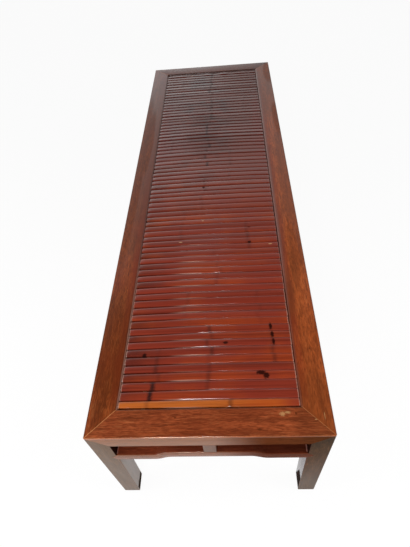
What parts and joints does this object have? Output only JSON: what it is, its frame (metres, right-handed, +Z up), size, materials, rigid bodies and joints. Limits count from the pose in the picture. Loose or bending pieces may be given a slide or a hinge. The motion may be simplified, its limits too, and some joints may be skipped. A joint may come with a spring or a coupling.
{
  "type": "wooden bench",
  "caption": "Long low lacquered wooden bench with a mitred frame, a seat of split bamboo slats, square legs and humpback stretchers with short struts.",
  "frame": {"origin": "on the floor, under the middle of the bench", "axes": "+X across the bench, +Y along it from the near end to the far end, +Z up"},
  "size_m": [0.55, 1.8, 0.425],
  "materials": {
    "frame_wood": "worn satin lacquer over orange-brown hardwood",
    "bamboo": "glossy red-brown lacquer over split bamboo",
    "brace_wood": "thin dark stain over sawn softwood"
  },
  "bodies": {
    "root": {"bamboo_slats_1": "bamboo", "bamboo_slats_2": "bamboo", "bamboo_slats_3": "bamboo", "bamboo_slats_4": "bamboo", "brace_1": "brace_wood", "brace_2": "brace_wood", "brace_3": "brace_wood", "end_rail_far": "frame_wood", "end_rail_near": "frame_wood", "end_stretcher_far": "frame_wood", "end_stretcher_near": "frame_wood", "end_strut_far": "frame_wood", "end_strut_near": "frame_wood", "leg_far_left": "frame_wood", "leg_far_right": "frame_wood", "leg_near_left": "frame_wood", "leg_near_right": "frame_wood", "mat_thread_1": "bamboo", "mat_thread_2": "bamboo", "mat_thread_3": "bamboo", "side_rail_left": "frame_wood", "side_rail_right": "frame_wood", "side_stretcher_left": "frame_wood", "side_stretcher_right": "frame_wood", "side_strut_left_1": "frame_wood", "side_strut_left_2": "frame_wood", "side_strut_left_3": "frame_wood", "side_strut_right_1": "frame_wood", "side_strut_right_2": "frame_wood", "side_strut_right_3": "frame_wood"}
  },
  "joints": []
}
